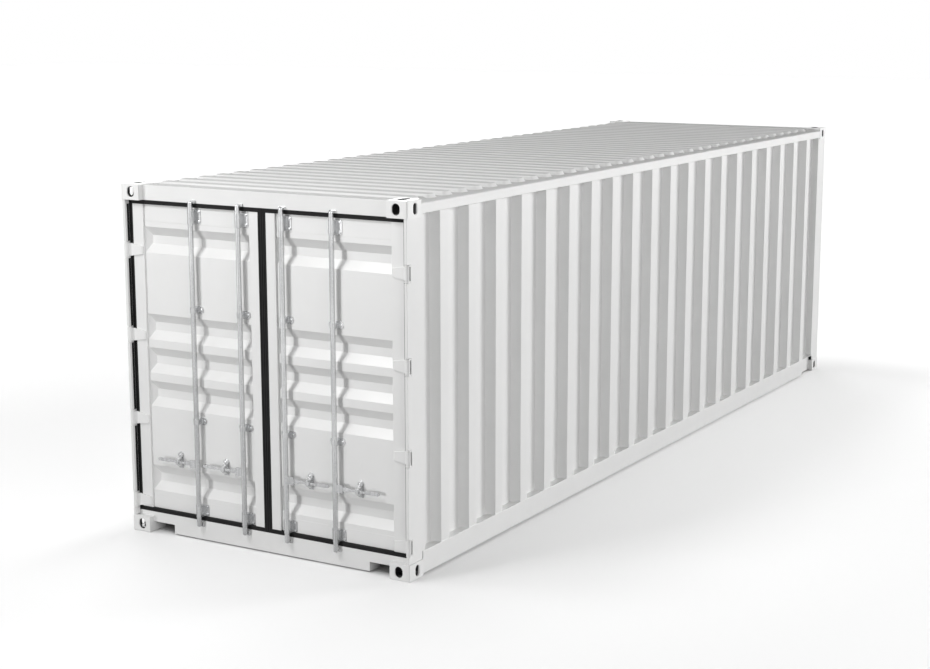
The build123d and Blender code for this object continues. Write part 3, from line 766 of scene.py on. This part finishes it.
@dataclass
class EasedNode:
    """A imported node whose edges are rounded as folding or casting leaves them."""

    node: str
    edge: Edge
    segments: int = 2
    smooth: float = 35.0
    chamfer: float = 0.0

    def build(self, palette: Palette) -> bpy.types.Object:
        """Copy the node, merge its triangles, round its edges and take its place.

        Args:
            palette: the container's materials.

        Returns:
            The new piece.
        """
        piece = Bench.merged_copy(self.node, f"{self.node}_eased")
        self._shape(piece)
        if self.edge is not Edge.FOLDED:
            Bench.ease(piece, self.edge.value, self.segments)
        Bench.settle(piece, self.smooth)
        slot = palette.node_slots[self.node]
        palette.dress(piece, slot)
        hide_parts(self.node)
        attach(piece, palette.node_bodies[self.node])
        return piece

    def _shape(self, piece: bpy.types.Object) -> None:
        """Cut a flat band along the container's four upright corners, where one is wanted.

        Args:
            piece: the copy under way.
        """
        if not self.chamfer:
            return
        across, along = BUILT_BOX[1][0], BUILT_BOX[1][1]
        near = 0.5 * MM

        def on_corner(place: Vector) -> bool:
            """Say whether a point is on one of the container's upright corners."""
            return abs(across - abs(place.x)) < near and abs(along - abs(place.y)) < near

        Bench.pick_edges(piece, lambda first, last: on_corner(first) and on_corner(last))
        bpy.ops.mesh.bevel(offset=self.chamfer, offset_type="OFFSET", segments=1)
        Bench.leave()


@dataclass
class RoofNode(EasedNode):
    """The roof panel, its ridges drawn to their full height and their folds rounded."""

    crest: float = 2577.5 * MM
    draw: float = 8.0 * MM
    fold: float = 10.0 * MM

    def _shape(self, piece: bpy.types.Object) -> None:
        """Raise the ridges' tops and round the folds around them.

        Args:
            piece: the copy under way.
        """
        Bench.pick_edges(piece, lambda first, last: min(first.z, last.z) > self.crest)
        bpy.ops.transform.translate(value=(0, 0, self.draw))
        bpy.ops.mesh.bevel(offset=self.fold, offset_type="OFFSET", segments=2)
        Bench.leave()


# Fine pieces


def looks_up(face: bpy.types.MeshPolygon) -> bool:
    """Say whether a face looks up."""
    return face.normal.z > 0.9


@dataclass(frozen=True)
class EndRidge:
    """The pressed roof ridge beside a header."""

    name: str
    along: float
    length: float = 2202.0 * MM
    base: float = 127.0 * MM
    crest: float = 91.0 * MM
    corner: float = 40.0 * MM
    fold: float = 10.0 * MM
    bottom: float = 2559.0 * MM
    top: float = 2588.0 * MM

    def build(self, palette: Palette) -> bpy.types.Object:
        """Round a block's upright corners, draw its top in and round the folds.

        Args:
            palette: the container's materials.

        Returns:
            The ridge.
        """
        Bench.clear()
        height = self.top - self.bottom
        bpy.ops.mesh.primitive_cube_add(size=1, location=(0, self.along, self.bottom + height / 2))
        ridge = bpy.context.object
        ridge.name = self.name
        ridge.scale = (self.length, self.base, height)
        Bench.hold(ridge)
        bpy.ops.object.transform_apply(location=True, rotation=True, scale=True)
        Bench.pick_edges(ridge, lambda first, last: abs(first.z - last.z) > height / 2)
        bpy.ops.mesh.bevel(offset=self.corner, offset_type="OFFSET", segments=6)
        Bench.leave()
        Bench.pick_faces(ridge, looks_up)
        drawn_in = self.base - self.crest
        bpy.ops.transform.resize(
            value=((self.length - drawn_in) / self.length, self.crest / self.base, 1.0),
            center_override=(0.0, self.along, self.top),
        )
        Bench.leave()
        Bench.pick_edges(ridge, lambda first, last: min(first.z, last.z) > self.top - TOUCH)
        bpy.ops.mesh.bevel(offset=self.fold, offset_type="OFFSET", segments=2)
        Bench.leave()
        Bench.settle(ridge, RIDGE_SMOOTH)
        palette.dress(ridge, "container_paint")
        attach(ridge, "container")
        return ridge


@dataclass(frozen=True)
class Fastener:
    """A bolt, rivet or screw head that stands up from a face at level zero."""

    sides: int
    radius: float
    height: float
    crown: tuple[tuple[float, float], ...]
    washer: float = 0.0
    washer_height: float = 1.6 * MM
    washer_sides: int = 24

    def model(self) -> bpy.types.Object:
        """Model the head, crowned by stepping its top face in and up, with its washer.

        Returns:
            The head, pointing up at the origin.
        """
        Bench.clear()
        base = self.washer_height if self.washer else 0.0
        bpy.ops.mesh.primitive_cylinder_add(
            vertices=self.sides,
            radius=self.radius,
            depth=self.height,
            location=(0, 0, base + self.height / 2),
        )
        head = bpy.context.object
        Bench.settle(head)
        Bench.pick_faces(head, looks_up)
        for inset, rise in self.crown:
            bpy.ops.mesh.inset(thickness=inset)
            bpy.ops.transform.translate(value=(0, 0, rise))
        Bench.leave()
        if not self.washer:
            return head
        bpy.ops.mesh.primitive_cylinder_add(
            vertices=self.washer_sides,
            radius=self.washer,
            depth=self.washer_height,
            location=(0, 0, self.washer_height / 2),
        )
        disc = bpy.context.object
        Bench.settle(disc)
        Bench.ease(disc, self.washer_height * 0.3)
        return Bench.join([head, disc], "fastener")


HEX_BOLT = Fastener(6, 8.0 * MM, 5.0 * MM, ((1.3 * MM, 0.9 * MM),), washer=10.5 * MM)
DOME_BOLT = Fastener(
    24, 10.0 * MM, 1.6 * MM, ((0.8 * MM, 1.7 * MM), (1.9 * MM, 1.5 * MM), (3.0 * MM, 0.9 * MM))
)
FLOOR_SCREW = Fastener(16, 6.0 * MM, 0.5 * MM, ((1.0 * MM, 0.1 * MM), (2.2 * MM, -0.5 * MM)))


@dataclass
class FastenerField:
    """Heads of one kind on one body, all facing the same way."""

    name: str
    kind: Fastener
    body: str
    slot: str
    turn: Matrix
    points: list[Point]
    smooth: float = 40.0

    def build(self, palette: Palette) -> bpy.types.Object:
        """Model one head, copy it to every point and join the copies.

        Args:
            palette: the container's materials.

        Returns:
            The joined heads.
        """
        pattern = self.kind.model()
        copies = [
            Bench.copy_at(pattern, Matrix.Translation(point) @ self.turn) for point in self.points
        ]
        bpy.data.objects.remove(pattern)
        field = Bench.join(copies, self.name)
        Bench.settle(field, self.smooth)
        palette.dress(field, self.slot)
        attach(field, self.body)
        return field


@dataclass(frozen=True)
class DoorGear:
    """Where the fasteners of one door's rod guides and catches sit."""

    side: Side
    rods: tuple[float, float] = (186.0 * MM, 603.0 * MM)
    door_end: float = -4125.0 * MM
    plate_depth: float = 61.0 * MM
    boss_depth: float = 49.0 * MM
    end_levels: tuple[float, ...] = (199.0 * MM, 256.0 * MM, 2344.0 * MM, 2414.0 * MM)
    end_reach: float = 45.0 * MM
    mid_levels: tuple[float, float] = (895.0 * MM, 1710.0 * MM)
    mid_reach: float = 43.0 * MM
    catch_reach: float = 186.0 * MM
    catch_level: float = 618.0 * MM

    def _pairs(self, levels: Sequence[float], reach: float) -> list[Point]:
        """List points on both sides of each rod.

        Args:
            levels: the heights of the points.
            reach: how far from the rod's axis they are.

        Returns:
            The points.
        """
        return [
            (self.side.value * rod + way * reach, self.door_end + self.plate_depth, level)
            for rod in self.rods
            for level in levels
            for way in (-1, 1)
        ]

    def fields(self) -> Iterator[FastenerField]:
        """Yield the door's fastener fields.

        Yields:
            The end guides' bolts, the mid guides' bolts and the catches' bolts.
        """
        door = self.side.door
        outwards = Matrix.Rotation(math.radians(90), 4, "X")
        catches = [
            (
                self.side.value * (rod + self.catch_reach),
                self.door_end + self.boss_depth,
                self.catch_level,
            )
            for rod in self.rods
        ]
        for name, kind, points in (
            ("end_guide_bolts", HEX_BOLT, self._pairs(self.end_levels, self.end_reach)),
            ("mid_guide_bolts", DOME_BOLT, self._pairs(self.mid_levels, self.mid_reach)),
            ("catch_bolts", DOME_BOLT, catches),
        ):
            yield FastenerField(f"{door}_{name}", kind, door, "galvanised_steel", outwards, points)


@dataclass(frozen=True)
class FloorScrews:
    """Rows of screws that hold the boards to the cross members."""

    rows: int = 25
    first_row: float = -3675.0 * MM
    last_row: float = 3719.0 * MM
    columns: tuple[float, ...] = (60.0 * MM, 360.0 * MM, 720.0 * MM, 1090.0 * MM)
    level: float = 173.0 * MM

    def field(self) -> FastenerField:
        """Lay out the screws.

        Returns:
            The field of screw heads.
        """
        pitch = (self.last_row - self.first_row) / (self.rows - 1)
        points = [
            (side.value * column, self.first_row + row * pitch, self.level)
            for row in range(self.rows)
            for side in Side
            for column in self.columns
        ]
        return FastenerField(
            "floor_screws", FLOOR_SCREW, "container", "galvanised_steel", Matrix(), points
        )


@dataclass(frozen=True)
class PostSealAndShade:
    """The rubber strip on a door post that the gasket closes against, open at the hinges. Its black
    also stands in for the shade on the post's inner face, a painted shade.
    """

    side: Side
    post_face: float = 1190.5 * MM
    thickness: float = 4.5 * MM
    front: float = -4101.0 * MM
    back: float = -4081.5 * MM
    hinge_levels: tuple[float, ...] = (232.0 * MM, 857.0 * MM, 1482.0 * MM, 2107.0 * MM)
    hinge_reach: float = 64.0 * MM
    top: float = 2440.0 * MM
    nose: float = 1.6 * MM

    def build(self, palette: Palette) -> bpy.types.Object:
        """Make a strip between each two hinges, round its front edges and join the strips.

        Args:
            palette: the container's materials.

        Returns:
            The seal.
        """
        # The black strips lie over the post's inner face, where they also stand in for its shade.
        ends = [level - self.hinge_reach for level in self.hinge_levels[1:]] + [self.top]
        strips = []
        for level, end in zip(self.hinge_levels, ends):
            strips.append(self._strip(level + self.hinge_reach, end))
        seal = Bench.join(strips, f"post_seal_{self.side.name.lower()}")
        Bench.settle(seal)
        palette.dress(seal, "door_seal")
        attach(seal, "container")
        return seal

    def _strip(self, start: float, end: float) -> bpy.types.Object:
        """Make one strip of the seal.

        Args:
            start: the height of its lower end.
            end: the height of its upper end.

        Returns:
            The strip.
        """
        middle = (
            self.side.value * (self.post_face - self.thickness / 2),
            (self.front + self.back) / 2,
            (start + end) / 2,
        )
        Bench.clear()
        bpy.ops.mesh.primitive_cube_add(size=1, location=middle)
        strip = bpy.context.object
        strip.scale = (self.thickness, self.back - self.front, end - start)
        Bench.settle(strip)
        Bench.pick_edges(
            strip,
            lambda first, last: max(first.y, last.y) < self.front + TOUCH
            and abs(first.z - last.z) > self.nose,
        )
        bpy.ops.mesh.bevel(offset=self.nose, offset_type="OFFSET", segments=3)
        Bench.leave()
        return strip


@dataclass
class Bead:
    """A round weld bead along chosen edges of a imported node."""

    node: str
    name: str
    radius: float
    along: Callable[[Vector, Vector], bool]
    smooth: float = 80.0

    def build(self, palette: Palette) -> bpy.types.Object:
        """Take the chosen edges out of a copy of the node and give them a round section.

        Args:
            palette: the container's materials.

        Returns:
            The bead.
        """
        bead = Bench.merged_copy(self.node, f"{self.node}_{self.name}")
        Bench.pick_edges(bead, self.along)
        bpy.ops.mesh.select_all(action="INVERT")
        bpy.ops.mesh.delete(type="EDGE_FACE")
        bpy.ops.mesh.select_all(action="SELECT")
        bpy.ops.mesh.delete(type="ONLY_FACE")
        Bench.leave()
        bpy.ops.object.convert(target="CURVE")
        bead = bpy.context.object
        bead.data.bevel_depth = self.radius
        bead.data.bevel_resolution = 1
        bpy.ops.object.convert(target="MESH")
        bead = bpy.context.object
        Bench.settle(bead, self.smooth)
        slot = palette.node_slots[self.node]
        palette.dress(bead, slot)
        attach(bead, palette.node_bodies[self.node])
        return bead


def at_level(level: float) -> Callable[[Vector, Vector], bool]:
    """Make a test for edges that lie at one height.

    Args:
        level: the height, in metres.

    Returns:
        The test of an edge's two ends.
    """
    return lambda first, last: max(abs(first.z - level), abs(last.z - level)) < TOUCH


def beads() -> Iterator[Bead]:
    """Yield the weld seams at the foot and the top of the side walls.

    Yields:
        Each bead.
    """
    for side in Side:
        word = side.name.lower()
        for level in WELD_LEVELS:
            yield Bead(f"side_wall_{word}", f"weld_{level:.0f}", WELD_RADIUS, at_level(level))


# Studio


def direction(azimuth: float, elevation: float) -> Vector:
    """The direction in which a camera or a lamp stands.

    Args:
        azimuth: degrees from the door end towards the right side.
        elevation: degrees above the floor.

    Returns:
        The direction, one metre long.
    """
    turn, lift = math.radians(azimuth), math.radians(elevation)
    return Vector(
        (math.sin(turn) * math.cos(lift), -math.cos(turn) * math.cos(lift), math.sin(lift))
    )


@dataclass(frozen=True)
class PhotoCamera:
    """The photograph's camera, as fitted to the corner castings."""

    place: Point = (7.2216, -13.592, 3.8188)
    azimuth: float = 30.454
    elevation: float = 10.656
    roll: float = -0.063
    lens: float = 66.995
    sensor: float = 36.0
    sight: float = 200.0

    def build(self) -> bpy.types.Object:
        """Make the camera and hand it to the scene.

        Returns:
            The camera.
        """
        tip = math.radians(self.roll)
        back = direction(self.azimuth, self.elevation)
        right = Vector((0, 0, 1)).cross(back).normalized()
        up = back.cross(right)
        right, up = (
            right * math.cos(tip) + up * math.sin(tip),
            up * math.cos(tip) - right * math.sin(tip),
        )
        data = bpy.data.cameras.new("photo_camera")
        data.lens = self.lens
        data.sensor_width = self.sensor
        data.clip_end = self.sight
        camera = bpy.data.objects.new("photo_camera", data)
        bpy.context.scene.collection.objects.link(camera)
        basis = Matrix((right, up, back)).transposed().to_4x4()
        camera.matrix_world = Matrix.Translation(self.place) @ basis
        bpy.context.scene.camera = camera
        return camera


@dataclass(frozen=True)
class Lamp:
    """A distant soft lamp, given by where it shines from."""

    name: str
    azimuth: float
    elevation: float
    strength: float
    softness: float
    distance: float = 30.0

    def build(self) -> bpy.types.Object:
        """Make the lamp.

        Returns:
            The lamp.
        """
        back = direction(self.azimuth, self.elevation)
        data = bpy.data.lights.new(self.name, "SUN")
        data.energy = self.strength
        data.angle = math.radians(self.softness)
        lamp = bpy.data.objects.new(self.name, data)
        bpy.context.scene.collection.objects.link(lamp)
        lamp.rotation_mode = "QUATERNION"
        lamp.rotation_quaternion = back.to_track_quat("Z", "Y")
        lamp.location = back * self.distance
        return lamp


@dataclass(frozen=True)
class SoftBox:
    """A near square lamp that fades with distance."""

    name: str
    place: Point
    target: Point
    size: float
    power: float

    def build(self) -> bpy.types.Object:
        """Make the lamp and turn it to its target.

        Returns:
            The lamp.
        """
        data = bpy.data.lights.new(self.name, "AREA")
        data.shape = "SQUARE"
        data.size = self.size
        data.energy = self.power
        lamp = bpy.data.objects.new(self.name, data)
        bpy.context.scene.collection.objects.link(lamp)
        lamp.location = self.place
        lamp.rotation_mode = "QUATERNION"
        back = Vector(self.place) - Vector(self.target)
        lamp.rotation_quaternion = back.to_track_quat("Z", "Y")
        return lamp

    def floor_light(self, bench: ShaderBench) -> Wire:
        """What the lamp gives an empty floor, as a share of white.

        Args:
            bench: the floor's material.

        Returns:
            The lamp's light on the floor at each point.
        """
        across, along, _ = bench.place().axes()
        to_lamp = (self.place[0] - across, self.place[1] - along, self.place[2])
        square = to_lamp[0] * to_lamp[0] + to_lamp[1] * to_lamp[1] + to_lamp[2] ** 2
        back = (Vector(self.place) - Vector(self.target)).normalized()
        facing = to_lamp[0] * back[0] + to_lamp[1] * back[1] + to_lamp[2] * back[2]
        facing = facing * (facing > 0.0)
        return facing * (self.power * self.place[2] / math.pi**2) / (square * square)


@dataclass(frozen=True)
class Studio:
    """A white room: floor, lamps and surrounding light."""

    floor_size: float = 160.0
    floor_drop: float = 0.5 * MM
    floor_roughness: float = 0.9
    floor_albedo: float = 0.85
    floor_bounce: float = 0.45
    floor_white: float = 1.015
    floor_even: float = 0.47
    foot: Point = (1.2, 4.11, 0.05)
    contact: float = 0.2
    contact_reach: float = 1.8
    left_haste: float = 4.0
    ambient: float = 0.08
    lamps: tuple[Lamp, ...] = (
        Lamp("key_lamp", -27.0, 3.0, 0.95, 3.0),
        Lamp("top_lamp", -72.0, 58.0, 0.6, 20.0),
        Lamp("fill_lamp", 70.0, 8.0, 1.5, 50.0),
        Lamp("side_lamp", 144.0, 6.0, 2.5, 22.0),
        Lamp("back_lamp", -135.0, 12.0, 1.6, 40.0),
    )
    boxes: tuple[SoftBox, ...] = (
        SoftBox("upper_lamp", (-1.5, -7.8, 6.0), (0.0, -4.1, 1.4), 2.2, 175.0),
    )

    def build(self) -> None:
        """Make the floor, the lamps and the world, and set the view."""
        Bench.clear()
        bpy.ops.mesh.primitive_plane_add(size=self.floor_size, location=(0, 0, -self.floor_drop))
        floor = bpy.context.object
        floor.name = "studio_floor"
        Bench.settle(floor)
        floor.data.materials.append(self._floor_material())
        for lamp in (*self.lamps, *self.boxes):
            lamp.build()
        self._world()
        bpy.context.scene.view_settings.view_transform = "Standard"

    def _floor_material(self) -> bpy.types.Material:
        """Make the floor's white, evened out where the camera sees it.

        Returns:
            The material.
        """
        bench = ShaderBench("studio_floor")
        seen = bench.node("ShaderNodeLightPath", output="Is Camera Ray")
        albedo = bench.blend(seen, (self.floor_bounce,) * 3, (self.floor_albedo,) * 3)
        bench.surface(Base_Color=albedo, Roughness=self.floor_roughness, Specular_IOR_Level=0.1)
        lift = self.floor_white - self.floor_even
        for box in self.boxes:
            lift = lift - box.floor_light(bench) * self.floor_albedo
        lift = lift - self._contact_shade(bench)
        mirrored = bench.node("ShaderNodeLightPath", output="Is Glossy Ray")
        through = bench.node("ShaderNodeLightPath", output="Is Transmission Ray")
        lift = lift * (lift > 0.0) * (seen + mirrored + through) * self._open_floor(bench)
        grey = bench.node("ShaderNodeCombineColor", inputs={0: lift, 1: lift, 2: lift})
        bench.surface(Emission_Color=grey, Emission_Strength=1.0)
        return bench.material

    def _contact_shade(self, bench: ShaderBench) -> Wire:
        """Shade the floor close to the container, over a shorter way on its left.

        Args:
            bench: the floor's material.

        Returns:
            How much less white the floor is, fading out with distance.
        """
        across, along, _ = bench.place().axes()
        right = across - self.foot[0]
        left = (-self.foot[0] - across) * self.left_haste
        beyond = abs(along) - self.foot[1]
        reach = [gap * (gap > 0.0) for gap in (right, left, beyond)]
        gap = (reach[0] * reach[0] + reach[1] * reach[1] + reach[2] * reach[2]) ** 0.5
        fade = bench.between(gap, 0.0, self.contact_reach, 1.0, 0.0)
        return fade * fade * self.contact

    def _open_floor(self, bench: ShaderBench) -> Wire:
        """Tell the open floor from the strip under the container.

        Args:
            bench: the floor's material.

        Returns:
            One on the open floor, falling to zero just inside the container's foot.
        """
        across, along, _ = bench.place().axes()
        half_width, half_length, ramp = self.foot
        beside = bench.between(abs(across), half_width - ramp, half_width, 0.0, 1.0)
        beyond = bench.between(abs(along), half_length - ramp, half_length, 0.0, 1.0)
        return bench.node("ShaderNodeMath", {"operation": "MAXIMUM"}, {0: beside, 1: beyond})

    def _world(self) -> None:
        """Make the surrounding light: soft on the object, white behind it."""
        world = bpy.data.worlds.new("studio")
        bpy.context.scene.world = world
        world.use_nodes = True
        tree = world.node_tree
        tree.nodes.clear()
        output = tree.nodes.new("ShaderNodeOutputWorld")
        mix = tree.nodes.new("ShaderNodeMixShader")
        soft = tree.nodes.new("ShaderNodeBackground")
        white = tree.nodes.new("ShaderNodeBackground")
        path = tree.nodes.new("ShaderNodeLightPath")
        soft.inputs["Color"].default_value = (1.0, 1.0, 1.0, 1.0)
        soft.inputs["Strength"].default_value = self.ambient
        white.inputs["Color"].default_value = (1.0, 1.0, 1.0, 1.0)
        white.inputs["Strength"].default_value = 1.0
        total = path.outputs["Is Camera Ray"]
        for name in ("Is Glossy Ray", "Is Transmission Ray"):
            add = tree.nodes.new("ShaderNodeMath")
            add.operation = "ADD"
            add.use_clamp = True
            tree.links.new(total, add.inputs[0])
            tree.links.new(path.outputs[name], add.inputs[1])
            total = add.outputs[0]
        tree.links.new(total, mix.inputs[0])
        tree.links.new(soft.outputs[0], mix.inputs[1])
        tree.links.new(white.outputs[0], mix.inputs[2])
        tree.links.new(mix.outputs[0], output.inputs["Surface"])


def eased_nodes() -> Iterator[EasedNode]:
    """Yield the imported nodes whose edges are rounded.

    Yields:
        A node with the kind of edge that it has.
    """
    for name in frame["nodes"]:
        if name.endswith("castings"):
            yield EasedNode(name, Edge.CAST, 3, chamfer=CORNER_BAND)
        elif "_post_" in name:
            yield EasedNode(name, Edge.TUBE, 3, chamfer=CORNER_BAND)
        elif name.endswith(("_header", "_sill", "_stiles", "_rails")) or "_rail_" in name:
            yield EasedNode(name, Edge.TUBE, 3)
        elif name.endswith("_door_panel"):
            yield EasedNode(name, Edge.PRESSED, 2)
        elif name == "roof_panel":
            yield RoofNode(name, Edge.FOLDED, smooth=RIDGE_SMOOTH)
        elif name.endswith("_wall") or name.startswith("side_wall"):
            yield EasedNode(name, Edge.FOLDED, smooth=12.0)
        elif name.endswith(("_hinges", "_pins", "_brackets", "_keepers", "_handle")):
            yield EasedNode(name, Edge.FORGED, 2)


def main() -> None:
    """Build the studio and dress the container."""
    logging.basicConfig(level=logging.INFO, format="%(name)s: %(message)s")
    PhotoCamera().build()
    Studio().build()
    palette = Palette()
    palette.dress_nodes()
    fields = [field for side in Side for field in DoorGear(side).fields()]
    end_ridges = [
        EndRidge("door_end_ridge", -END_RIDGE_ALONG),
        EndRidge("front_end_ridge", END_RIDGE_ALONG),
    ]
    seals = [PostSealAndShade(side) for side in Side]
    trims = (*end_ridges, *seals, *fields, FloorScrews().field(), *beads())
    for maker in (*eased_nodes(), *trims):
        piece = maker.build(palette)
        LOG.info("%s: %d faces", piece.name, len(piece.data.polygons))


if __name__ == "__main__":
    main()
